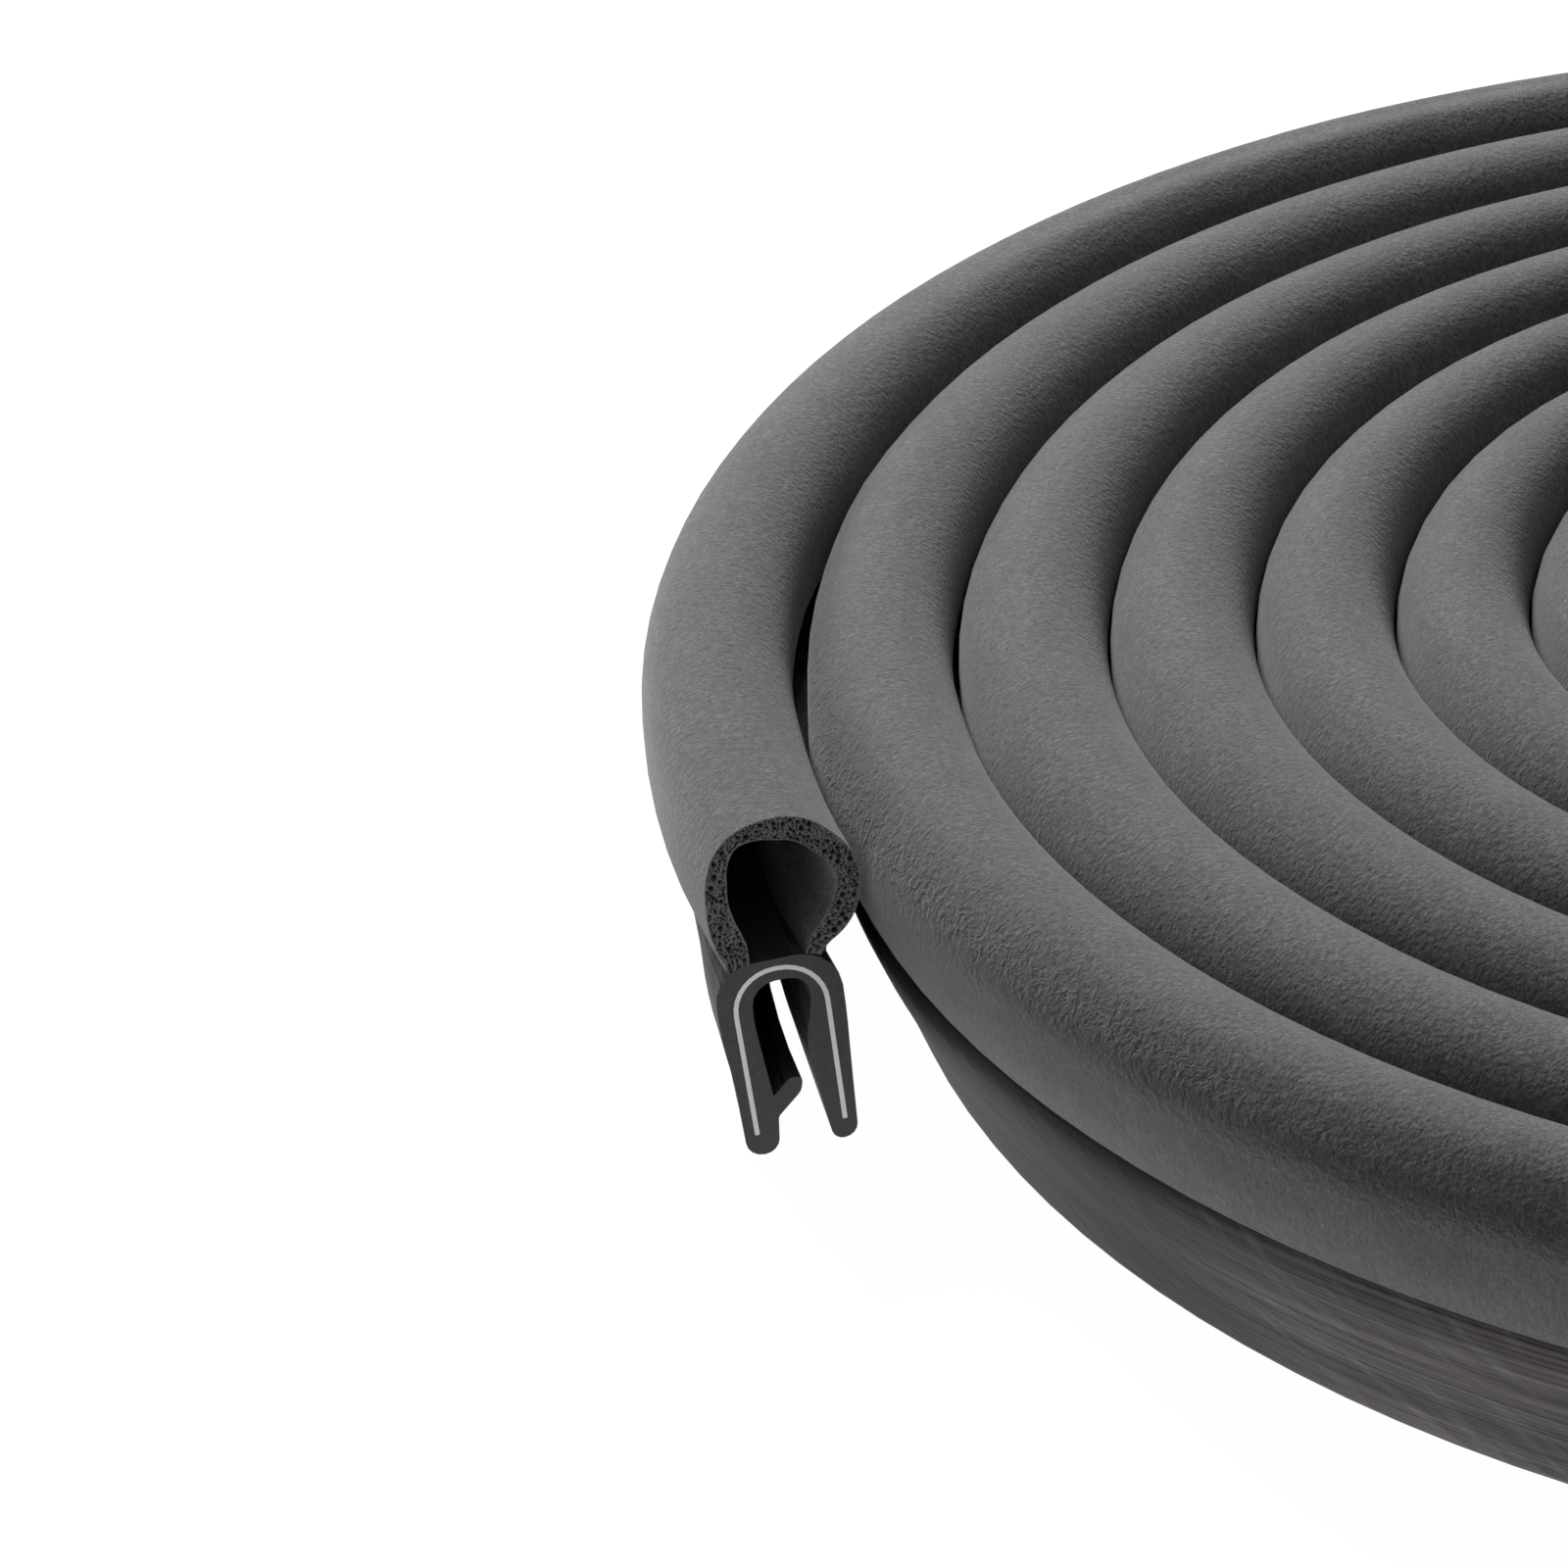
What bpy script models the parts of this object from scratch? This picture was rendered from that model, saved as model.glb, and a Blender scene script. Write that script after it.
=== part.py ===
"""Bulb trim seal, wound into a flat coil.

The seal is one long strip with three pieces. A channel of dense rubber grips the edge of a panel,
a steel core inside the channel keeps its legs together, and a hollow bulb of sponge rubber sits on
the channel's crown. The strip is wound with the bulb up and the legs down, each turn beside the
last one, round an open bore.

Units are metres and +Z is up. The coil's axis is upright, and the legs stand on z = 0.
"""

import math

import bmesh
import bpy
from mathutils import Matrix

# The strip and the coil
SEAL_LENGTH = 3.05
INNER_RADIUS = 0.0428
CUT_END_ANGLE = math.radians(200)
STEPS_PER_TURN = 20
OUTER_TURN_GAP = 0.0009
INNER_TURN_GAP = 0.0004

# The sponge bulb
BULB_WIDTH = 0.0127
BULB_HEIGHT = 0.0121
BULB_WALL = 0.00225
FEET_OFFSET = 0.0008
FEET_WIDTH = 0.0074
FOOT_THICKNESS = 0.0013

# The channel of dense rubber. Its crown lies outwards of the bulb's middle, and its legs lean
# inwards below it, while the crown and the legs' tips stay level. The lean is small at the cut
# end and grows fast behind it.
CROWN_OFFSET = 0.0009
CUT_END_LEAN = math.radians(4.5)
SETTLED_LEAN = math.radians(20)
SETTLING_TURNS = 0.12
CROWN_HEIGHT = 0.0176
CROWN_THICKNESS = 0.0022
SHOULDER_BULGE = 0.00025
SHOULDER_RUN = 0.0018
SHOULDER_DROP = 0.0038
LEGS_WIDTH = 0.0098
LEGS_HEIGHT = 0.0078
TIP_ROUND = 0.0008

# The gap between the legs, for the panel's edge
ROOF_WIDTH = 0.0046
WAIST_GAP = 0.0036
WAIST_HEIGHT = 0.0090
PANEL_GAP = 0.0045

# The gripping fin, low on the outer leg
FIN_HEIGHT = 0.0037
FIN_THICKNESS = 0.0019
FIN_TIP_THICKNESS = 0.0010
FIN_REACH = 0.0030
FIN_RISE = 0.0020

# The steel core, in the middle of the channel's wall
CORE_THICKNESS = 0.0004
CORE_BEND = 0.0020
CORE_END_HEIGHT = 0.0020

# The clearance between two pieces that touch on the real seal
CONTACT_GAP = 0.0003


def material(name, colour, roughness, metallic=0.0):
    """Make a plain material."""
    result = bpy.data.materials.new(name)
    result.use_nodes = True
    shader = result.node_tree.nodes["Principled BSDF"]
    shader.inputs["Base Color"].default_value = (*colour, 1.0)
    shader.inputs["Roughness"].default_value = roughness
    shader.inputs["Metallic"].default_value = metallic
    return result


def arc(centre, radius, start, end, steps, drop=None):
    """Return points on an arc, from one angle to another in degrees.

    With a drop, the arc is an ellipse's, and the drop is its radius along z.
    """
    tall = radius if drop is None else drop
    points = []
    for step in range(steps + 1):
        angle = math.radians(start + (end - start) * step / steps)
        points.append((centre[0] + radius * math.cos(angle), centre[1] + tall * math.sin(angle)))
    return points


# A section is drawn as (x, z): x grows outwards, away from the coil's axis, and z is the height
# above the floor.


def bulb_section():
    """Return the bulb's outline, with x = 0 at its middle.

    Its skin runs over the top from foot to foot, and its hollow is open onto the crown.
    """
    floor = CROWN_HEIGHT + CONTACT_GAP
    middle = (0, floor + BULB_HEIGHT - BULB_WIDTH / 2)
    heel = FEET_WIDTH / 2
    toe = heel - FOOT_THICKNESS
    skin = arc(middle, BULB_WIDTH / 2, -25, 223, 8)
    hollow = arc(middle, BULB_WIDTH / 2 - BULB_WALL, 207, -15, 6)
    outer_foot = [(FEET_OFFSET + toe, floor), (FEET_OFFSET + heel, floor)]
    inner_foot = [(FEET_OFFSET - heel, floor), (FEET_OFFSET - toe, floor)]
    return outer_foot + skin + inner_foot + hollow


def shoulder():
    """Return the outer shoulder, rounded from the crown's edge down to the channel's side."""
    middle = (LEGS_WIDTH / 2 + SHOULDER_BULGE - SHOULDER_RUN, CROWN_HEIGHT - SHOULDER_DROP)
    return arc(middle, SHOULDER_RUN, 90, 0, 2, drop=SHOULDER_DROP)


def leg_end():
    """Return the outer leg's low end, from its outer face to the face that meets the panel."""
    outer = LEGS_WIDTH / 2
    inner = PANEL_GAP / 2
    return [
        (outer, LEGS_HEIGHT),
        (outer, TIP_ROUND),
        (outer - TIP_ROUND, 0),
        (inner + TIP_ROUND, 0),
        (inner, TIP_ROUND),
    ]


def fin():
    """Return the fin on the outer leg, which bends up towards the other leg."""
    root = PANEL_GAP / 2
    tip = root - FIN_REACH
    return [
        (root, FIN_HEIGHT),
        (tip, FIN_HEIGHT + FIN_RISE),
        (tip, FIN_HEIGHT + FIN_RISE + FIN_TIP_THICKNESS),
        (root, FIN_HEIGHT + FIN_THICKNESS),
    ]


def mirrored(outline):
    """Return the same outline on the other leg, drawn the other way."""
    return [(-x, z) for x, z in reversed(outline)]


def channel_section():
    """Return the channel's outline: over the outer leg, up round the gap and over the inner leg."""
    waist = [(WAIST_GAP / 2, WAIST_HEIGHT)]
    roof_radius = ROOF_WIDTH / 2
    roof_middle = (0, CROWN_HEIGHT - CROWN_THICKNESS - roof_radius)
    roof = arc(roof_middle, roof_radius, 0, 180, 4)
    side = shoulder() + leg_end()
    return side + fin() + waist + roof + mirrored(waist) + mirrored(side)


def core_section(grow=0.0):
    """Return the core's outline. The slot that holds it is the same outline, grown by a gap."""
    side = (LEGS_WIDTH + PANEL_GAP) / 4
    top = CROWN_HEIGHT - CROWN_THICKNESS / 2
    end = CORE_END_HEIGHT - grow

    def face(offset):
        """Return one face of the core, from the inner leg over the crown to the outer leg."""
        x = side + offset
        z = top + offset
        bend = CORE_BEND + offset * math.tan(math.radians(22.5))
        half = [(x - bend, z), (x, z - bend), (x, end)]
        return mirrored(half) + half

    reach = CORE_THICKNESS / 2 + grow
    return face(reach) + face(-reach)[::-1]


def reach(share):
    """Return the widths of the bulb and of the channel at a share of the way in from the cut end.

    The inner turns are wound so tight that their bulbs are squeezed to the channel's width.
    """
    channel = LEGS_WIDTH + 2 * SHOULDER_BULGE
    return BULB_WIDTH + (channel - BULB_WIDTH) * share, channel


def squeezed(turns, share):
    """Return the matrix that narrows the bulb's section after so many turns."""
    return Matrix.Scale(reach(share)[0] / BULB_WIDTH, 4, (1, 0, 0))


def leaning(turns, share):
    """Return the matrix that leans the channel's section and hangs it from the crown."""
    settled = min(turns / SETTLING_TURNS, 1)
    eased = 1 - (1 - settled) ** 2
    first = math.tan(CUT_END_LEAN)
    slope = first + (math.tan(SETTLED_LEAN) - first) * eased
    shear = Matrix.Identity(4)
    shear[0][2] = slope
    shear[0][3] = CROWN_OFFSET - CROWN_HEIGHT * slope
    return shear


def stations(shaping):
    """Return the section's places along the coil, from the cut end inwards.

    The bulb's middle follows a flat spiral, and the pitch of its turns falls evenly from the cut
    end to the inner one. Every turn has its places at the same angles, so neighbouring turns stay
    clear of each other, and the last stretch is a whole one cut short.
    """
    outer_pitch = reach(0)[0] + OUTER_TURN_GAP
    inner_pitch = reach(1)[0] + INNER_TURN_GAP
    growth = outer_pitch / 6 + inner_pitch / 3
    root = math.sqrt(INNER_RADIUS**2 + 4 * growth * SEAL_LENGTH / math.tau)
    wound = (root - INNER_RADIUS) / (2 * growth)
    outer_radius = INNER_RADIUS + wound * (outer_pitch + inner_pitch) / 2

    def place(step):
        """Return the matrix that stands a shaped section at one of the steps."""
        turns = step / STEPS_PER_TURN
        radius = outer_radius - outer_pitch * turns
        radius += (outer_pitch - inner_pitch) * turns**2 / (2 * wound)
        turned = Matrix.Rotation(CUT_END_ANGLE - turns * math.tau, 4, "Z")
        shaped = shaping(turns, turns / wound)
        return turned @ Matrix.Translation((radius, 0, 0)) @ shaped

    steps = wound * STEPS_PER_TURN
    whole = math.floor(steps - 0.25)
    places = [place(step) for step in range(whole + 1)]
    part = steps - whole
    places.append(places[-1] * (1 - part) + place(whole + 1) * part)
    return places


def wind(name, outlines, shaping, look, collection):
    """Wind a flat section into a coil and return its object.

    The section is filled at the cut end, its edges are extruded from place to place, and the
    last ones are filled. A second outline is a hole that runs along the strip.
    """
    places = stations(shaping)
    bm = bmesh.new()
    edges = []
    for outline in outlines:
        corners = [bm.verts.new((x, 0, z)) for x, z in outline]
        edges += [bm.edges.new(pair) for pair in zip(corners, corners[1:] + corners[:1])]
    bmesh.ops.transform(bm, matrix=places[0], verts=bm.verts)
    bmesh.ops.triangle_fill(bm, use_beauty=True, edges=edges)
    for here, there in zip(places, places[1:]):
        grown = bmesh.ops.extrude_edge_only(bm, edges=edges)["geom"]
        corners = [item for item in grown if isinstance(item, bmesh.types.BMVert)]
        edges = [item for item in grown if isinstance(item, bmesh.types.BMEdge) and item.is_boundary]
        bmesh.ops.transform(bm, matrix=there @ here.inverted(), verts=corners)
    bmesh.ops.triangle_fill(bm, use_beauty=True, edges=edges)
    bmesh.ops.recalc_face_normals(bm, faces=bm.faces)
    mesh = bpy.data.meshes.new(name)
    bm.to_mesh(mesh)
    bm.free()
    mesh.materials.append(look)
    result = bpy.data.objects.new(name, mesh)
    collection.objects.link(result)
    return result


def centre(pieces):
    """Move the pieces so that the box round all of them is centred on the upright axis."""
    places = [vertex.co for piece in pieces for vertex in piece.data.vertices]
    for axis in range(2):
        values = [place[axis] for place in places]
        middle = (min(values) + max(values)) / 2
        for place in places:
            place[axis] -= middle


def main():
    """Build the seal's three pieces."""
    for old in list(bpy.data.objects):
        bpy.data.objects.remove(old, do_unlink=True)
    collection = bpy.data.collections.new("bulb_trim_seal")
    bpy.context.scene.collection.children.link(collection)

    sponge = material("sponge_rubber", (0.060, 0.060, 0.062), 0.85)
    dense = material("dense_rubber", (0.040, 0.037, 0.036), 0.65)
    steel = material("core_steel", (0.56, 0.56, 0.55), 0.38, metallic=1.0)

    channel_outlines = [channel_section(), core_section(CONTACT_GAP)]
    bulb = wind("sponge_bulb", [bulb_section()], squeezed, sponge, collection)
    channel = wind("grip_channel", channel_outlines, leaning, dense, collection)
    core = wind("metal_core", [core_section()], leaning, steel, collection)
    centre([bulb, channel, core])


main()
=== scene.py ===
# %% [markdown]
# # A bulb trim seal, wound into a flat coil
#
# The real thing is one long strip of three materials: a hollow bulb of black sponge rubber, a
# channel of dense rubber that grips the edge of a panel, and a thin steel core inside the channel.
# A factory extrudes the strip straight and then winds it up, and this script does the same. Every
# piece is first modelled straight, where it's easy to think about, and is bent into a coil last.

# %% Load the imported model
import math
import random

import bmesh
import bpy
import numpy as np
from mathutils import Matrix, Vector, noise


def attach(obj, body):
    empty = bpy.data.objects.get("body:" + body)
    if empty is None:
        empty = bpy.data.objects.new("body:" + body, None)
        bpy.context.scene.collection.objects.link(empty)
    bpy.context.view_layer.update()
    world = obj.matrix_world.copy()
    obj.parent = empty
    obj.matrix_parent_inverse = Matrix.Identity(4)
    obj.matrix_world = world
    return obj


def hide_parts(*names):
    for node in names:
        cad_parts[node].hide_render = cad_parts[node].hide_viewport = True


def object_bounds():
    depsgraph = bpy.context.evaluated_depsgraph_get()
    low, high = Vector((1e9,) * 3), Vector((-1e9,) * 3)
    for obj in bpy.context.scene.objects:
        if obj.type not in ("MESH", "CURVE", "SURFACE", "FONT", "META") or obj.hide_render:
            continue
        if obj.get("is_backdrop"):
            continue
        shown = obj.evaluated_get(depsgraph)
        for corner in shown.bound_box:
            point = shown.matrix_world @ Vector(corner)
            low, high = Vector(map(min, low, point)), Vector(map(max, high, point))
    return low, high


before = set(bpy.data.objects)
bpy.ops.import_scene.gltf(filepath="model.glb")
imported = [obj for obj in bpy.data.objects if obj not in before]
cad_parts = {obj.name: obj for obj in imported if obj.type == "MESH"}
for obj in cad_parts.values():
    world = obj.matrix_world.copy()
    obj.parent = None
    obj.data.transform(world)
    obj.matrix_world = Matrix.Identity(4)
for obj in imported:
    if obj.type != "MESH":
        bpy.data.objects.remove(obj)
cad_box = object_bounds()
print("nodes:", sorted(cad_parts))
print("box:", [[round(1000 * value, 2) for value in corner] for corner in cad_box])

# %% [markdown]
# ## The camera
#
# A camera is an object like any other: its own X axis points to the right of the picture, its Y
# axis up, and it looks along its negative Z axis. So three directions and a place are all that it
# takes to aim it. The lens is long, about 139 mm on a 36 mm sensor, which keeps the turns of the
# coil nearly the same size from front to back.

# %% Aim the camera
LENS = 139.4
CAMERA_PLACE = Vector((-0.08615, -0.45638, 0.25374))
YAW, PITCH, ROLL = -0.0498, 0.4908, -0.0500

forward = Vector(
    (math.sin(YAW) * math.cos(PITCH), math.cos(YAW) * math.cos(PITCH), -math.sin(PITCH))
)
level = Vector((math.cos(YAW), -math.sin(YAW), 0))
tilted = Matrix.Rotation(-ROLL, 3, forward)
right = tilted @ level
up = right.cross(forward)

camera = bpy.data.objects.new("camera", bpy.data.cameras.new("camera"))
camera.data.lens = LENS
camera.data.sensor_width = 36
camera.data.clip_start = 0.02
camera.data.clip_end = 20
aim = Matrix((right, up, -forward)).transposed()
camera.matrix_world = Matrix.Translation(CAMERA_PLACE) @ aim.to_4x4()
bpy.context.scene.collection.objects.link(camera)
bpy.context.scene.camera = camera
print("the camera looks", round(math.degrees(PITCH), 1), "degrees down")

# %% [markdown]
# ## The path of the coil
#
# The bulb's middle follows a flat spiral. The outermost turns lie 13.6 mm apart, and the inner
# ones are wound tighter, down to 10.7 mm, with their bulbs squeezed. Two tables tie the length
# along the strip to the number of turns, so that any point of the straight strip can be looked up
# and put in its place on the coil. A spiral isn't the same on all sides, so its axis lies a few
# millimetres off the middle of the model's box.

# %% Work out the spiral
SEAL_LENGTH = 3.05
INNER_RADIUS = 0.0428
OUTER_PITCH = 0.0136
INNER_PITCH = 0.0107
CUT_END_ANGLE = math.radians(200)
COIL_AXIS = Vector((0.003411, -0.003382, 0))

growth = OUTER_PITCH / 6 + INNER_PITCH / 3
root = math.sqrt(INNER_RADIUS**2 + 4 * growth * SEAL_LENGTH / math.tau)
COIL_TURNS = (root - INNER_RADIUS) / (2 * growth)
OUTER_RADIUS = INNER_RADIUS + COIL_TURNS * (OUTER_PITCH + INNER_PITCH) / 2
PITCH_LOSS = (OUTER_PITCH - INNER_PITCH) / (2 * COIL_TURNS)

turn_table = np.linspace(0, COIL_TURNS, 3000)
length_table = math.tau * (
    OUTER_RADIUS * turn_table - OUTER_PITCH * turn_table**2 / 2 + PITCH_LOSS * turn_table**3 / 3
)
print(round(COIL_TURNS, 2), "turns, ending at", round(1000 * length_table[-1]), "mm")


# %% [markdown]
# ## Bending the strip
#
# Blender's Curve modifier bends a mesh along a path. Here a short function does it, because it
# can also change the section on the way: it asks where each point lies in the section after so
# many turns. The channel's legs lean towards the coil's axis below the crown. They lean little at
# the cut end, and 20 degrees from an eighth of a turn behind it.

# %% Bend a straight piece into the coil
def eased(value):
    """Return a value held between 0 and 1, with a soft start and a soft stop."""
    held = min(max(value, 0), 1)
    return held * held * (3 - 2 * held)


def wind(bm, section_place):
    """Move every point of a straight strip to its place on the coil.

    The strip lies along Y from the cut end. section_place(vert, turns) gives the point's distance
    outwards from the bulb's middle, and its height.
    """
    for vert in bm.verts:
        turns = float(np.interp(vert.co.y, length_table, turn_table))
        outwards, height = section_place(vert, turns)
        radius = OUTER_RADIUS - OUTER_PITCH * turns + PITCH_LOSS * turns**2 + outwards
        angle = CUT_END_ANGLE - turns * math.tau
        flat = Vector((radius * math.cos(angle), radius * math.sin(angle), height))
        vert.co = flat + COIL_AXIS
    bmesh.ops.recalc_face_normals(bm, faces=bm.faces)


SETTLING_TURNS = 0.12
CUT_END_SLOPE = math.tan(math.radians(4.5))
SETTLED_SLOPE = math.tan(math.radians(20))


def lean(turns):
    """Return the slope of the channel's legs after so many turns."""
    settled = min(turns / SETTLING_TURNS, 1)
    return CUT_END_SLOPE + (SETTLED_SLOPE - CUT_END_SLOPE) * (1 - (1 - settled) ** 2)


print("the lean goes from", round(lean(0), 3), "to", round(lean(1), 3))

# %% [markdown]
# ## Drawing a strip
#
# A strip has the same section from end to end. So one end's face is made, a copy of it is moved to
# the other end, `bridge_loops` puts the long walls between them, and `subdivide_edges` cuts those
# walls into 5 mm lengths that can bend. Two values are kept on every point from the start, because
# they'd be hard to find again in the coil: how far along the strip it lies, and how far round its
# section. The materials use them to lay their grain along or across the strip.

# %% Helpers that make a strip from one end's face
STRIP_STEP = 0.005
SHARP_ANGLE = math.radians(38)


def pull_out(bm):
    """Make a straight strip from an end's faces, and return the faces of both ends."""
    near = list(bm.faces)
    whole = near + list(bm.edges) + list(bm.verts)
    copied = bmesh.ops.duplicate(bm, geom=whole)["geom"]
    far = [item for item in copied if isinstance(item, bmesh.types.BMFace)]
    moved = [item for item in copied if isinstance(item, bmesh.types.BMVert)]
    bmesh.ops.translate(bm, vec=(0, SEAL_LENGTH, 0), verts=moved)
    long_edges = []
    for ring in rings([edge for edge in bm.edges if edge.is_boundary]):
        bridged = bmesh.ops.bridge_loops(bm, edges=ring)
        long_edges += [edge for edge in bridged["edges"] if edge.calc_length() > STRIP_STEP]
    cuts = round(SEAL_LENGTH / STRIP_STEP) - 1
    bmesh.ops.subdivide_edges(bm, edges=long_edges, cuts=cuts, use_grid_fill=True)
    return near, far


def rings(edges):
    """Sort the open edges of both ends into rings, each with its copy at the other end.

    A ring is matched to its copy by its length, to a hundredth of a millimetre.
    Lists keep the edges in order, while a set's order would change from run to run.
    """
    left = list(edges)
    found = {}
    while left:
        grown = [left.pop()]
        for edge in grown:
            linked = [other for vert in edge.verts for other in vert.link_edges if other in left]
            left = [other for other in left if other not in linked]
            grown += linked
        around = round(sum(edge.calc_length() for edge in grown) * 1e5)
        found.setdefault(around, []).extend(grown)
    return list(found.values())


def finish_piece(bm, name, looks, node):
    """Turn a wound strip into the object that stands for a CAD node."""
    for face in bm.faces:
        face.smooth = True
    for edge in bm.edges:
        edge.smooth = edge.calc_face_angle(0) < SHARP_ANGLE
    mesh = bpy.data.meshes.new(name)
    bm.to_mesh(mesh)
    bm.free()
    for look in looks:
        mesh.materials.append(look)
    piece = bpy.data.objects.new(name, mesh)
    bpy.context.scene.collection.objects.link(piece)
    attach(piece, "root")
    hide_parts(node)
    triangles = sum(len(polygon.vertices) - 2 for polygon in mesh.polygons)
    print(name, "has", triangles, "triangles")


# %% [markdown]
# ## Making a material
#
# Every material here is a Principled shader with patterns made by nodes. Short helpers keep the
# recipes easy to read: one makes a node and plugs things into it, one reads what the mesh keeps on
# its points, two make noise with marks of a chosen size, and the others turn a pattern into a
# colour, mix colours or bump the surface.

# %% Helpers for materials
def start_material(name, roughness):
    """Make a material and return it with its node tree and its shader."""
    look = bpy.data.materials.new(name)
    look.use_nodes = True
    shader = look.node_tree.nodes["Principled BSDF"]
    shader.inputs["Roughness"].default_value = roughness
    return look, look.node_tree, shader


def add_node(tree, kind, settings=None, **plugs):
    """Add a node, set its options, and fill or link its sockets.

    A socket is given by its name, or by its number after an underscore where names repeat.
    """
    node = tree.nodes.new(kind)
    for key, value in (settings or {}).items():
        setattr(node, key, value)
    for key, value in plugs.items():
        numbered = key[1:].isdigit()
        socket = node.inputs[int(key[1:]) if numbered else key.replace("_", " ")]
        if isinstance(value, bpy.types.NodeSocket):
            tree.links.new(value, socket)
        else:
            socket.default_value = value
    return node


def kept(tree, name, output="Fac"):
    """Return what the mesh keeps on its points under a name: a number, or a Vector."""
    return add_node(tree, "ShaderNodeAttribute", {"attribute_name": name}).outputs[output]


def strip_marks(tree, along, across, detail=3.0, roughness=0.6, turned=0.0, distortion=0.0):
    """Return a noise whose marks have a size along and across the strip, in metres."""
    place = kept(tree, "strip_place", "Vector")
    if turned:
        place = add_node(tree, "ShaderNodeMapping", Vector=place, Rotation=(0, 0, turned))
        place = place.outputs["Vector"]
    scaled = add_node(tree, "ShaderNodeMapping", Vector=place, Scale=(1 / along, 1 / across, 1))
    return add_node(
        tree,
        "ShaderNodeTexNoise",
        Vector=scaled.outputs["Vector"],
        Scale=1.0,
        Detail=detail,
        Roughness=roughness,
        Distortion=distortion,
    ).outputs["Fac"]


def solid_marks(tree, size, detail=3.0):
    """Return a noise with marks of one size in all directions, in metres."""
    place = add_node(tree, "ShaderNodeTexCoord")
    return add_node(
        tree,
        "ShaderNodeTexNoise",
        Vector=place.outputs["Object"],
        Scale=1 / size,
        Detail=detail,
        Roughness=0.6,
    ).outputs["Fac"]


def shade_between(tree, pattern, stops):
    """Return the colour that a pattern picks from stops of (position, grey or colour)."""
    ramp = add_node(tree, "ShaderNodeValToRGB", Fac=pattern)
    marks = ramp.color_ramp.elements
    while len(marks) < len(stops):
        marks.new(0.5)
    for mark, (position, colour) in zip(marks, stops):
        mark.position = position
        mark.color = (*colour, 1) if isinstance(colour, tuple) else (colour, colour, colour, 1)
    return ramp.outputs["Color"]


def mixed(tree, kind, factor, first, second):
    """Return two colours mixed in one of the mix node's ways.

    The node has sockets of the same names for numbers, vectors and colours, so they're numbered.
    """
    ways = {"data_type": "RGBA", "blend_type": kind}
    return add_node(tree, "ShaderNodeMix", ways, _0=factor, _6=first, _7=second).outputs[2]


def darkened(tree, colour, pattern, stops):
    """Return a colour darkened by a pattern, with stops of (position, grey)."""
    return mixed(tree, "MULTIPLY", 1.0, colour, shade_between(tree, pattern, stops))


def bumped(tree, height, depth, strength, under=None):
    """Return a normal that a pattern bumps by a depth in metres, on top of another bump."""
    plugs = {"Height": height, "Distance": depth, "Strength": strength}
    if under is not None:
        plugs["Normal"] = under
    return add_node(tree, "ShaderNodeBump", **plugs).outputs["Normal"]


# %% [markdown]
# ## The sponge's skin
#
# Sponge rubber is blown like bread, and it leaves the die with a closed, matt skin. Close up, the
# skin looks like felt: marks of about 0.3 mm by 0.6 mm, a little longer round the strip than along
# it. They are made from noise that's squeezed along the strip. A finer speckle breaks them up, two
# broad patterns keep the grey from being too even, and a few pale specks are lint. Low on the outer
# side the skin is smoother, so the marks fade into a plain grey there.

# %% Mix the skin's colour
PLAIN_GREY = (0.066, 0.066, 0.066, 1)
sponge_skin, tree, shader = start_material("sponge_skin", 0.82)
nap = strip_marks(tree, 0.00032, 0.00060, detail=2.0, roughness=0.75, distortion=1.0)
speckle = solid_marks(tree, 0.00034, detail=1.0)
mottle = strip_marks(tree, 0.0030, 0.0024, detail=2.0)
clouds = strip_marks(tree, 0.009, 0.006, detail=2.0)
lint = strip_marks(tree, 0.00045, 0.00060, detail=0.0, distortion=1.5)

round_section = add_node(
    tree, "ShaderNodeSeparateXYZ", Vector=kept(tree, "strip_place", "Vector")
).outputs["Y"]
napped = add_node(
    tree,
    "ShaderNodeMapRange",
    Value=round_section,
    From_Min=-0.0005,
    From_Max=0.0045,
    To_Min=0.45,
    To_Max=1.0,
).outputs["Result"]
felt = shade_between(tree, nap, [(0.37, 0.052), (0.63, 0.150)])
felt = darkened(tree, felt, speckle, [(0.38, 0.72), (0.62, 1.0)])
felt = mixed(tree, "MIX", napped, PLAIN_GREY, felt)
felt = darkened(tree, felt, clouds, [(0.38, 0.84), (0.62, 1.0)])
felt = darkened(tree, felt, mottle, [(0.40, 0.88), (0.60, 1.0)])
felt = mixed(tree, "ADD", 1.0, felt, shade_between(tree, lint, [(0.76, 0.0), (0.86, 0.05)]))
print("the marks of the skin are 0.3 mm by 0.6 mm")

# %% [markdown]
# ## The skin's relief
#
# With colour alone, the skin would look printed. A Bump node makes light fall as if the surface
# rose and fell with a pattern, and bumps can be stacked: here wrinkles, pebbles, nap and speckle.
# Along the front of the outermost turn runs a band with wrinkles, in a shallow crease. The mesh
# keeps how much a point belongs to that band; the material paints the crease's shade there by
# darkening the colour to about half, and brings out the wrinkles. A weak sheen gives the soft light
# edge that such a skin has where it turns away from the eye.

# %% Give the skin its relief
creased_and_shaded = kept(tree, "crease_and_shade")
# Painted shade: the crease's band is darkened to about half, in place of the shade that falls in
# it.
felt = darkened(tree, felt, creased_and_shaded, [(0.0, 1.0), (1.0, 0.52)])
tree.links.new(felt, shader.inputs["Base Color"])
wrinkles = strip_marks(tree, 0.0010, 0.0008, detail=2.0, distortion=1.2)
pebbles = strip_marks(tree, 0.00060, 0.00070, detail=1.0)
relief = None
for pattern, where, depth, strength in (
    (wrinkles, creased_and_shaded, 0.0005, 0.7),
    (pebbles, napped, 0.00015, 0.6),
    (nap, napped, 0.00012, 0.6),
):
    pattern = mixed(tree, "MULTIPLY", 1.0, pattern, where)
    relief = bumped(tree, pattern, depth, strength, relief)
relief = bumped(tree, speckle, 0.00008, 0.6, relief)
tree.links.new(relief, shader.inputs["Normal"])
shader.inputs["Sheen Weight"].default_value = 0.25
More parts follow.
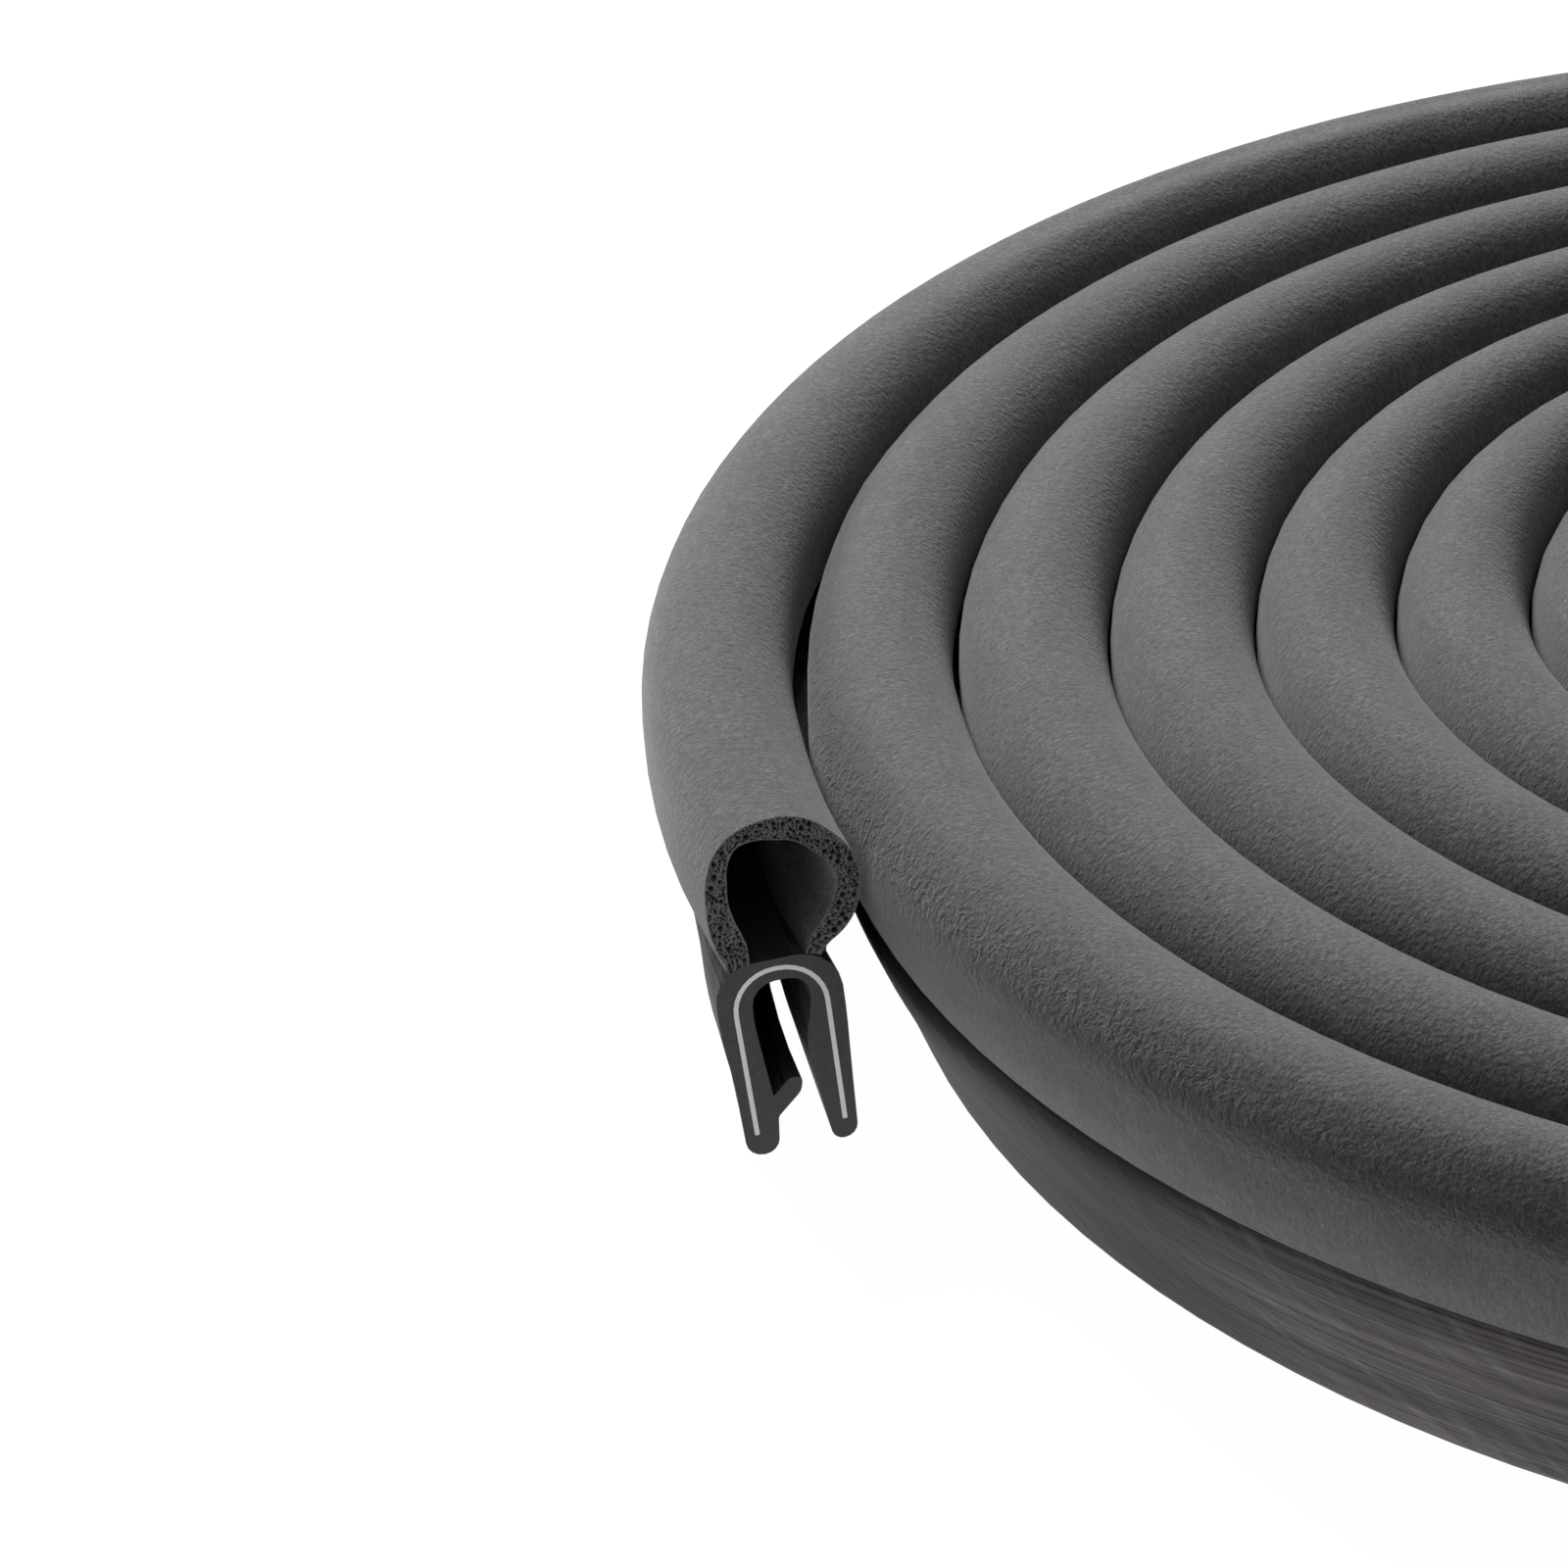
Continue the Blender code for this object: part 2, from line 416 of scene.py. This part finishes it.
shader.inputs["Sheen Roughness"].default_value = 0.6
shader.inputs["Specular IOR Level"].default_value = 0.35
print("the skin has four bumps, one on top of another")

# %% [markdown]
# ## The sponge's cut face
#
# Where the knife went through, the bubbles lie open. Their hollows will be real dents in the mesh,
# and each point of the mesh keeps how deep in a bubble it lies. The material paints the shade in
# the bubbles by darkening them by that depth, and gives the thin walls between them a dull grain.

# %% Mix the sponge's cut face
sponge_cut, tree, shader = start_material("sponge_cut", 0.9)
walls = shade_between(tree, solid_marks(tree, 0.00025), [(0.3, 0.085), (0.7, 0.160)])
# Painted shade: the bubbles are darkened down to a tenth by how deep a point lies in them.
shaded_bubbles = darkened(tree, walls, kept(tree, "pore_shade"), [(0.1, 1.0), (0.75, 0.10)])
tree.links.new(shaded_bubbles, shader.inputs["Base Color"])
relief = bumped(tree, solid_marks(tree, 0.0002), 0.00006, 0.5)
tree.links.new(relief, shader.inputs["Normal"])
shader.inputs["Specular IOR Level"].default_value = 0.3
print("the bubbles darken to a tenth")

# %% [markdown]
# ## The dense rubber
#
# The channel's rubber is solid and has no bubbles. Its sides show the fine lines that the die
# draws along it, a few longer dark streaks, and pale slanting smears where it was rubbed. It's a
# little browner than the sponge. One turn in from the cut end, the stretch beside it gets a painted
# shadow that darkens it almost to black, and the mesh keeps that stretch as an attribute.

# %% Mix the channel's side
dense_side, tree, shader = start_material("dense_side", 0.58)
lines = strip_marks(tree, 0.03, 0.00036, detail=2.0, roughness=0.7)
streaks = strip_marks(tree, 0.06, 0.0011, detail=2.0)
smears = strip_marks(tree, 0.0018, 0.010, detail=2.5, turned=math.radians(-52), distortion=0.6)
drawn = shade_between(tree, lines, [(0.38, (0.028, 0.025, 0.024)), (0.58, (0.098, 0.088, 0.083))])
smeared = shade_between(tree, smears, [(0.50, 0.0), (0.68, 0.038)])
side = mixed(tree, "ADD", 1.0, drawn, smeared)
side = darkened(tree, side, streaks, [(0.38, 0.60), (0.55, 1.0)])
# Painted shadow: the stretch beside the cut end is darkened to an eighth, where the cut end stands
# over it.
side = darkened(tree, side, kept(tree, "painted_shadow"), [(0.0, 1.0), (1.0, 0.12)])
tree.links.new(side, shader.inputs["Base Color"])
relief = bumped(tree, lines, 0.00008, 0.7)
relief = bumped(tree, smears, 0.0004, 0.3, relief)
tree.links.new(relief, shader.inputs["Normal"])
shader.inputs["Specular IOR Level"].default_value = 0.22
print("the channel's side has lines 0.36 mm apart")

# %% [markdown]
# ## The channel's cut face
#
# The knife leaves the dense rubber darker than its side, with no lines and a very fine grain.

# %% Mix the channel's cut face
dense_cut, tree, shader = start_material("dense_cut", 0.75)
grain = shade_between(tree, solid_marks(tree, 0.0006), [(0.3, 0.040), (0.7, 0.056)])
tree.links.new(grain, shader.inputs["Base Color"])
tree.links.new(bumped(tree, solid_marks(tree, 0.00018), 0.00003, 0.5), shader.inputs["Normal"])
print("the dense rubber has a side and a cut face")

# %% [markdown]
# ## The steel
#
# The core shows only where the strip is cut: a bright line of bare steel, with the fine scratches
# that the cutter left. They change the grey and the roughness a little, so the line doesn't shine
# evenly.

# %% Mix the core's steel
core_steel, tree, shader = start_material("core_steel", 0.42)
shader.inputs["Metallic"].default_value = 1.0
scratches = solid_marks(tree, 0.0003, detail=4.0)
steel = shade_between(tree, scratches, [(0.3, 0.42), (0.7, 0.54)])
dulled = shade_between(tree, scratches, [(0.3, 0.36), (0.7, 0.5)])
tree.links.new(steel, shader.inputs["Base Color"])
tree.links.new(dulled, shader.inputs["Roughness"])
print("the steel is bare")

# %% [markdown]
# ## The crown that carries the bulb
#
# The channel's crown is flat on top and rounded at both shoulders. The bulb's feet are bonded to
# it, so both pieces need its height at any distance from the channel's middle.

# %% The crown's height
CROWN_HEIGHT = 0.01755
CROWN_OFFSET = 0.0009
CROWN_HALF = 0.00535
SHOULDER_ROUND = 0.0033
SHOULDER_SHARE = 0.98


def crown_height(outwards):
    """Return the crown's height at a distance from the channel's middle.

    Past the shoulder's steep end, the height at that end is kept.
    """
    past = abs(outwards) - (CROWN_HALF - SHOULDER_ROUND)
    past = min(max(past, 0), SHOULDER_ROUND * SHOULDER_SHARE)
    return CROWN_HEIGHT - SHOULDER_ROUND + math.sqrt(SHOULDER_ROUND**2 - past**2)


print("the crown is", round(1000 * crown_height(0.0046), 2), "mm high at its shoulder")

# %% [markdown]
# ## The bulb's section
#
# The section is a circle that's open at the bottom. `create_circle` gives the skin, the points
# over the opening are deleted, and the last few on the outer side are drawn down almost straight,
# as the real bulb's heel is. Each point of the skin keeps its distance round the section, how far
# down the heel it lies, and later whether it stands on the crown.

# %% Draw the bulb's skin
BULB_MIDDLE = 0.02365
BULB_RADIUS = 0.00635
SKIN_START, SKIN_END = -45, 245
OPENING = (-112, -47)
HEEL_TOP, HEEL_SPAN = -5, 40
HEEL_HEIGHT = -0.00055
HEEL_TUCK = 0.0015
FOOT_DROP = 0.0062
INNER_FOOT_TOP = 236
CIRCLE_DROP = 0.005755


def angle_of(vert):
    """Return a point's angle round the bulb's middle, from -115 to 245 degrees."""
    angle = math.degrees(math.atan2(vert.co.z, vert.co.x))
    return angle if angle > -115 else angle + 360


bulb = bmesh.new()
upright = Matrix.Rotation(math.radians(90), 4, "X")
bmesh.ops.create_circle(bulb, cap_ends=False, segments=72, radius=BULB_RADIUS, matrix=upright)
opening = [vert for vert in bulb.verts if OPENING[0] < angle_of(vert) < OPENING[1]]
bmesh.ops.delete(bulb, geom=opening, context="VERTS")

across = bulb.verts.layers.float.new("across")
heel = bulb.verts.layers.float.new("heel")
foot = bulb.verts.layers.float.new("foot")
# How deep a point lies in a bubble, for the painted shade on the cut faces.
bubble_shade = bulb.verts.layers.float.new("pore_shade")
# How much a point lies in the crease's band, where the skin gets painted shade and wrinkles.
crease_and_shade = bulb.verts.layers.float.new("crease_and_shade")
skin_angles = {vert: angle_of(vert) for vert in bulb.verts}
for vert, angle in skin_angles.items():
    vert[across] = BULB_RADIUS * math.radians(angle)
    down = max(HEEL_TOP - angle, 0) / HEEL_SPAN
    vert[heel] = down
    if down:
        vert.co.x = BULB_RADIUS - HEEL_TUCK * down**2.2
        vert.co.z = HEEL_HEIGHT - (HEEL_HEIGHT + FOOT_DROP) * down
    if angle > INNER_FOOT_TOP:
        share = (angle - INNER_FOOT_TOP) / (SKIN_END - INNER_FOOT_TOP)
        vert.co.z -= share * (FOOT_DROP - CIRCLE_DROP)
print(len(skin_angles), "points on the skin, from", round(min(skin_angles.values())), "degrees")

# %% [markdown]
# ## The bulb's hollow
#
# Extruding the skin's edges inwards gives a wall of one quad each. The new points are moved to the
# hollow's outline, a curve through radii at chosen angles: nearly round, wider over the outer
# shoulder, and drawn down to the two feet. `subdivide_edges` then slices the wall.

# %% Hollow it out
HOLLOW_ANGLES = [-64, -55, -40, -20, 17, 50, 84, 130, 165, 201, 230, 247, 256.4]
HOLLOW_RADII = [6.89, 5.45, 4.75, 4.5, 4.52, 5.15, 4.3, 4.2, 4.3, 4.35, 4.55, 5.15, 6.38]
HOLLOW_RADIUS = 0.0043
PATTERN_SHIFT = 0.1
FOOT_LEVEL = -0.0061
WALL_SLICES = 6

grown = bmesh.ops.extrude_edge_only(bulb, edges=bulb.edges[:])["geom"]
inner = [item for item in grown if isinstance(item, bmesh.types.BMVert)]
for vert in inner:
    share = (math.degrees(vert[across] / BULB_RADIUS) - SKIN_START) / (SKIN_END - SKIN_START)
    turned = HOLLOW_ANGLES[0] + share * (HOLLOW_ANGLES[-1] - HOLLOW_ANGLES[0])
    radius = 0.001 * float(np.interp(turned, HOLLOW_ANGLES, HOLLOW_RADII))
    vert.co.x = radius * math.cos(math.radians(turned))
    vert.co.z = radius * math.sin(math.radians(turned))
    vert[across] = PATTERN_SHIFT + HOLLOW_RADIUS * math.radians(turned)
    vert[heel] = 0
through = [edge for edge in bulb.edges if (edge.verts[0] in inner) != (edge.verts[1] in inner)]
for vert in bulb.verts:
    vert[foot] = 1.0 if vert.co.z < FOOT_LEVEL else 0.0
bmesh.ops.subdivide_edges(bulb, edges=through, cuts=WALL_SLICES - 1, use_grid_fill=True)
bmesh.ops.translate(bulb, vec=(0, 0, BULB_MIDDLE), verts=bulb.verts)
print("the wall has", len(bulb.faces), "quads")

# %% [markdown]
# ## Pulling it out, and opening the bubbles
#
# After the strip is pulled out, only its two end faces are cut finer, to about a tenth of a
# millimetre. Then bubbles are dropped on them at random: a new one is kept only if it touches
# neither the edge nor another bubble. Each one dents the points inside it. The random numbers
# start from a fixed seed, and the points are first sorted by their place, so the bubbles are the
# same on every run.

# %% Pull out the bulb
near, far = pull_out(bulb)
for vert in bulb.verts:
    vert[foot] = 1.0 if vert[foot] > 0.999 else 0.0
for face in near + far:
    face.material_index = 1
face_edges = list(dict.fromkeys(edge for face in near + far for edge in face.edges))
bmesh.ops.subdivide_edges(bulb, edges=face_edges, cuts=3, use_grid_fill=True)

place = bulb.verts.layers.float_vector.new("strip_place")
for vert in bulb.verts:
    vert[place] = Vector((vert.co.y, vert[across], 0))
print("the bulb has", len(bulb.faces), "faces")

# %% Open the bubbles
BUBBLE_TRIES = 14000
SMALLEST_BUBBLE = 0.00008
BUBBLE_GROWTH = 0.00018
BUBBLE_DEPTH = 1.5
BUBBLE_WALL = 0.00002
RIM_WALL = 0.00007


def open_bubbles(bm, end, inwards, seed):
    """Dent one end's face with bubbles. The end is its place along the strip."""
    ended = [vert for vert in bm.verts if abs(vert.co.y - end) < 1e-6]
    picked = sorted(ended, key=lambda vert: (round(vert.co.x, 6), round(vert.co.z, 6)))
    rim = [any(face.material_index == 0 for face in vert.link_faces) for vert in picked]
    spots = np.array([(vert.co.x, vert.co.z) for vert in picked])
    edge_spots = spots[np.array(rim)]
    rolls = random.Random(seed)
    middles, sizes = [], []
    for _ in range(BUBBLE_TRIES):
        spot = spots[rolls.randrange(len(spots))]
        size = SMALLEST_BUBBLE + BUBBLE_GROWTH * rolls.random() ** 1.4
        if np.hypot(*(edge_spots - spot).T).min() < size + RIM_WALL:
            continue
        if middles:
            apart = np.hypot(*(np.array(middles) - spot).T)
            if (apart < np.array(sizes) + size + BUBBLE_WALL).any():
                continue
        middles.append(spot)
        sizes.append(size)
    for middle, size in zip(middles, sizes):
        apart = np.hypot(*(spots - middle).T) / size
        for index in np.flatnonzero(apart < 1):
            deep = math.sqrt(1 - apart[index] ** 2)
            picked[index].co.y += inwards * deep * size * BUBBLE_DEPTH
            # How deep the point lies in its bubble, which the cut face's material turns into
            # painted shade.
            picked[index][bubble_shade] = deep
    return len(middles)


print(open_bubbles(bulb, 0.0, 1, 3), "bubbles at the cut end")
print(open_bubbles(bulb, SEAL_LENGTH, -1, 4), "bubbles at the inner end")

# %% [markdown]
# ## Saying where on the bulb
#
# The bulb isn't quite the same all along, so its skin is moved in or out by up to 0.6 mm, by where
# a point lies. Two helpers say that. A band lies round the section, where the angle is 0 on the
# outer side, 90 on top and 180 on the side towards the coil's axis. A stretch lies along the strip
# and is given in turns or in metres.

# %% Bands and stretches
def band(angle, middle, width):
    """Return 1 in a band's middle, less and less beside it."""
    return math.exp(-(((angle - middle) / width) ** 2))


def stretch(place, start, rise, end, fall):
    """Return 1 on a stretch and 0 before and after it, with a soft rise and a soft fall."""
    return eased((place - start) / rise) * (1 - eased((place - end) / fall))


print("one width beside its middle, a band is down to", round(band(30, 20, 10), 2))

# %% [markdown]
# ## The groove and the uneven skin
#
# At the back of the outermost turn a long shallow groove runs along the top, with a low ridge
# beside it. And no soft tube lies perfectly even, so a slow noise moves the skin by a few
# hundredths of a millimetre.

# %% Make the skin uneven
GROOVE_DEPTH = 0.00028
RIDGE_HEIGHT = 0.00010
WAVE_HEIGHT = 0.00006
WAVES_ALONG, WAVES_ACROSS = 55, 130
WAVE_START = 0.01


def uneven(angle, turns, y, dx, dz):
    """Return how far the skin stands out by the groove, its ridge and the slow waves."""
    groove = RIDGE_HEIGHT * band(angle, 110, 9) - GROOVE_DEPTH * band(angle, 86, 11)
    groove *= stretch(turns, 0.10, 0.1, 0.5, 0.15)
    place = Vector((y * WAVES_ALONG, dx * WAVES_ACROSS, dz * WAVES_ACROSS))
    return groove + WAVE_HEIGHT * noise.noise(place)


print("the groove is", round(1000 * GROOVE_DEPTH, 2), "mm deep")

# %% [markdown]
# ## The shape at the cut end
#
# The photo shows that the bulb isn't quite round where it was cut. It's fuller over the outer
# shoulder, flatter over the inner one, and its inner foot is thicker. This fades within a few
# centimetres.

# %% Shape the cut end
CUT_END_REACH = 0.025


def out_of_round(angle, distance, near_cut):
    """Return how far the skin stands out near the cut end."""
    fuller = 0.00060 * band(angle, 46, 30)
    flatter = 0.00045 * band(angle, 135, 28)
    on_the_skin = eased((distance - 0.0048) / 0.0014)
    thicker = 0.00035 * band(angle, -140, 28) * on_the_skin
    return near_cut * (fuller - flatter + thicker)


print("the cut end stands out", round(1000 * out_of_round(46, BULB_RADIUS, 1), 2), "mm at most")

# %% [markdown]
# ## The flanks
#
# Wound turns press against each other, and a soft bulb fills the space beside it. So both flanks
# swell, less and less towards the coil's middle. The outermost turn has no neighbour outside, and
# its outer flank stays as it is. A little behind the cut end, a dark slit stays open between the
# first two turns: there the flanks on both of its sides are drawn in.

# %% Swell the flanks
FLANK_SWELL = 0.00034
SLIT_DEPTH = 0.00022
SLIT_TURNS = 1.2
SWELL_LOSS = 0.55


def flank(angle, turns, near_cut):
    """Return how far a flank swells towards the next turn, or is drawn in beside the slit."""
    inside = band(abs(angle), 180, 32)
    outside = band(angle, 0, 32) * eased((turns - 0.99) / 0.05)
    slit = stretch(turns % 1, 0.028, 0.02, 0.075, 0.025) if turns < SLIT_TURNS else 0
    drawn_in = SLIT_DEPTH * slit * (inside if turns < 1 else outside)
    swollen = (inside * (1 - near_cut) + outside) * (1 - slit)
    return FLANK_SWELL * swollen * (1 - SWELL_LOSS * turns / COIL_TURNS) - drawn_in


print("the last turn's flanks swell by", round(1000 * flank(0, COIL_TURNS, 0), 2), "mm")

# %% [markdown]
# ## Winding up the bulb
#
# What's left is the heel, the feet and the crease with its painted shade. After the cut end, the
# outer heel spreads over the channel's shoulder and ends there in a crisp lip. The feet stand on
# the leaning crown, whose height changes with the place that the lean moves them to, so it's
# worked out in a few rounds. The crease is a shallow dent along the front of the outermost turn,
# and the skin's material paints its shade by darkening the colour there. Towards the coil's middle
# the whole bulb is squeezed narrower.

# %% Wind up the bulb
SQUEEZED_WIDTH = 0.0103
LIP_START = 0.045
LIP_DROP = 0.0014
LIP_SPREAD = 0.00015
LIP_EDGE = 0.00020
CREASE_DEPTH = 0.00030
FOOT_SINK = 0.00006


def foot_height(x, turns):
    """Return how high a foot stands on the leaning crown."""
    from_middle = x - CROWN_OFFSET
    for _ in range(3):
        z = crown_height(from_middle) - FOOT_SINK
        from_middle = x - CROWN_OFFSET - (z - CROWN_HEIGHT) * lean(turns)
    return z


def bulb_place(vert, turns):
    """Return where a point of the bulb lies: outwards from the bulb's middle, and its height."""
    x, y, z = vert.co
    spread = vert[heel] * eased(y / LIP_START)
    x += LIP_SPREAD * spread
    z -= LIP_DROP * spread
    dx, dz = x, z - BULB_MIDDLE
    distance = math.hypot(dx, dz)
    if vert[foot] < 0.5:
        angle = math.degrees(math.atan2(dz, dx))
        near_cut = math.exp(-y / CUT_END_REACH)
        front = stretch(turns, 0.70, 0.10, 1.06, 0.08)
        # The crease's band: the skin's material paints shade here and puts its wrinkles here.
        vert[crease_and_shade] = front * band(angle, 28, 26)
        move = uneven(angle, turns, y, dx, dz) * eased(y / WAVE_START)
        move += out_of_round(angle, distance, near_cut)
        move += flank(angle, turns, near_cut)
        move -= CREASE_DEPTH * front * band(angle, 42, 16)
        x += dx / distance * move
        z += dz / distance * move
    x *= 1 - turns / COIL_TURNS * (1 - SQUEEZED_WIDTH / (2 * BULB_RADIUS))
    if vert[foot] > 0.5:
        z = foot_height(x, turns)
        if vert[heel] > 0.98:
            x += LIP_EDGE * eased(y / LIP_START)
    return x, z


wind(bulb, bulb_place)
finish_piece(
    bulb, "wound_sponge_bulb", [sponge_skin, sponge_cut], "sponge_bulb"
)

# %% [markdown]
# ## The channel's section
#
# The channel is drawn as one face with plain corners. Bevelling its corners, not its edges, rounds
# them in the plane of the drawing, and each corner gets its own reach. The steel core is drawn in
# the same way, and its outline is cut out of the channel's face, so the steel ends flush in the
# rubber.

# %% Draw the channel and the core
# Each corner is x and z in metres, how far its rounding reaches, and in how many segments. The
# channel's go from the outer shoulder down the outer leg, over the fin, up round the gap, and down
# and up the inner leg.
CHANNEL_CORNERS = [
    (CROWN_HALF, CROWN_HEIGHT, SHOULDER_ROUND, 5),
    (0.00530, 0.01080, 0.0018, 2),
    (0.00472, 0.00690, 0.0018, 2),
    (0.00450, 0.00000, 0.00135, 4),
    (0.00185, 0.00000, 0.00115, 4),
    (0.00155, 0.00320, 0.00020, 2),
    (-0.00060, 0.00515, 0.00035, 2),
    (-0.00085, 0.00640, 0.00035, 2),
    (0.00020, 0.00655, 0.00025, 2),
    (0.00175, 0.00515, 0.00015, 2),
    (0.00205, 0.00800, 0.0015, 2),
    (0.00250, 0.01230, 0.0010, 2),
    (0.00230, 0.01560, 0.0019, 4),
    (-0.00260, 0.01560, 0.0019, 4),
    (-0.00230, 0.01240, 0.0010, 2),
    (-0.00155, 0.00980, 0.0012, 2),
    (-0.00175, 0.00700, 0.0012, 2),
    (-0.00275, 0.00000, 0.00085, 4),
    (-0.00480, 0.00000, 0.00115, 4),
    (-0.00500, 0.00720, 0.0018, 2),
    (-0.00520, 0.01220, 0.0018, 2),
    (-0.00505, CROWN_HEIGHT, 0.0035, 5),
]
CORE_CORNERS = [
    (0.00370, 0.0019, 0.00012, 2),
    (0.00415, 0.01690, 0.0039, 8),
    (-0.00390, 0.01690, 0.0039, 8),
    (-0.00405, 0.00175, 0.00012, 2),
    (-0.00365, 0.00175, 0.00012, 2),
    (-0.00350, 0.01650, 0.0035, 8),
    (0.00375, 0.01650, 0.0035, 8),
    (0.00330, 0.0019, 0.00012, 2),
]


def draw(bm, corners):
    """Draw a face from corners of (x, z, reach, segments), each rounded as far as its reach."""
    points = [bm.verts.new((x, 0, z)) for x, z, _, _ in corners]
    bm.faces.new(points)
    for point, (_, _, reach, segments) in zip(points, corners):
        bmesh.ops.bevel(
            bm,
            geom=[point],
            offset=reach,
            offset_type="OFFSET",
            segments=segments,
            profile=0.5,
            affect="VERTICES",
            material=-1,
        )


channel = bmesh.new()
across = channel.verts.layers.float.new("across")
draw(channel, CHANNEL_CORNERS)
outline = channel.faces[:][0]
crown_end = Vector((CROWN_HALF - SHOULDER_ROUND, 0, CROWN_HEIGHT))
loop = min(outline.loops, key=lambda corner: (corner.vert.co - crown_end).length)
walked = 0.0
for _ in outline.loops:
    loop.vert[across] = walked
    walked += loop.edge.calc_length()
    loop = loop.link_loop_next
print("the channel's outline is", round(1000 * walked, 1), "mm round")

# %% [markdown]
# ## Pulling out the channel
#
# Close behind the cut end the outer leg bends inwards by up to 1.5 mm, as the photo shows. This
# pinch grows from the channel's middle outwards, so the inner leg stays where it is, and the core
# follows the rubber.

# %% Cut the core's slot and pull out the channel
# Where along the strip, in metres from the cut end, the channel's side gets its painted shadow.
SHADE_START, SHADE_RISE = 0.640, 0.026
SHADE_END, SHADE_FALL = 0.76, 0.04

draw(channel, CORE_CORNERS)
bmesh.ops.delete(channel, geom=channel.faces[:], context="FACES_ONLY")
bmesh.ops.triangle_fill(channel, use_beauty=True, edges=channel.edges[:])
near, far = pull_out(channel)
for face in near + far:
    face.material_index = 1
place = channel.verts.layers.float_vector.new("strip_place")
painted_shadow = channel.verts.layers.float.new("painted_shadow")
for vert in channel.verts:
    vert[place] = Vector((vert.co.y, vert[across], 0))
    vert[painted_shadow] = stretch(vert.co.y, SHADE_START, SHADE_RISE, SHADE_END, SHADE_FALL)
print("the dark stretch starts", SHADE_START, "m from the cut end")

# %% Wind up the channel
PINCH = 0.0015


def channel_place(vert, turns):
    """Return where a point of the channel or the core lies."""
    x, _, z = vert.co
    pinch = PINCH * stretch(turns, 0, 0.02, 0.10, 0.15)
    x -= pinch * eased((x + 0.001) / 0.004)
    return x + CROWN_OFFSET + (z - CROWN_HEIGHT) * lean(turns), z


wind(channel, channel_place)
finish_piece(
    channel, "wound_grip_channel", [dense_side, dense_cut], "grip_channel"
)

# %% [markdown]
# ## The steel core
#
# The core is the outline that was cut out of the channel, pulled out by itself and wound in the
# same way, so it fills its slot all along.

# %% Pull out the core
core = bmesh.new()
draw(core, CORE_CORNERS)
pull_out(core)
wind(core, channel_place)
finish_piece(core, "wound_metal_core", [core_steel], "metal_core")

# %% [markdown]
# ## The studio
#
# The photograph has a plain white ground that hardly shows a shadow. So the floor is a plane that
# shines by itself, and it throws light up on the sides of the turns. One soft lamp, behind the
# coil and to the left, lights the backs and tops of the turns, and a weak light from all round
# fills in what the lamp leaves dark.

# %% Lay the floor
FLOOR_GREY = (0.05, 0.05, 0.05, 1)
FLOOR_GLOW = 0.985
WHITE = (1, 1, 1, 1)

floor_look, tree, shader = start_material("floor_white", 0.9)
shader.inputs["Base Color"].default_value = FLOOR_GREY
shader.inputs["Emission Color"].default_value = WHITE
shader.inputs["Emission Strength"].default_value = FLOOR_GLOW

floor_mesh = bmesh.new()
bmesh.ops.create_grid(floor_mesh, x_segments=4, y_segments=4, size=6)
mesh = bpy.data.meshes.new("floor")
floor_mesh.to_mesh(mesh)
floor_mesh.free()
mesh.materials.append(floor_look)
floor = bpy.data.objects.new("floor", mesh)
bpy.context.scene.collection.objects.link(floor)
floor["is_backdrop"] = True
print("the floor shines at", FLOOR_GLOW)

# %% Hang the lamp and light the room
LAMP_PLACE = Vector((-0.44, 0.91, 0.82))
LAMP_SIZE = 0.5
LAMP_POWER = 22
ROOM_LIGHT = 0.19

light = bpy.data.lights.new("lamp_behind", "AREA")
light.shape = "SQUARE"
light.size = LAMP_SIZE
light.energy = LAMP_POWER
lamp = bpy.data.objects.new("lamp_behind", light)
lamp.location = LAMP_PLACE
lamp.rotation_euler = (-LAMP_PLACE).to_track_quat("-Z", "Y").to_euler()
bpy.context.scene.collection.objects.link(lamp)

world = bpy.data.worlds.new("studio")
world.use_nodes = True
background = world.node_tree.nodes["Background"]
background.inputs["Color"].default_value = WHITE
background.inputs["Strength"].default_value = ROOM_LIGHT
bpy.context.scene.world = world
bpy.context.scene.view_settings.view_transform = "Standard"
print("one lamp", round(LAMP_PLACE.length, 2), "m away, and a white floor")

# %% [markdown]
# ## The two boxes
#
# The dressed model has to fill the same box as the plain one it stands for, so both boxes are
# printed next to each other.

# %% Print both boxes and finish
dressed_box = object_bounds()
boxes = {
    "cad": [list(corner) for corner in cad_box],
    "dressed": [list(corner) for corner in dressed_box],
}
for name, corners in boxes.items():
    print(name, [[round(1000 * value, 2) for value in corner] for corner in corners])
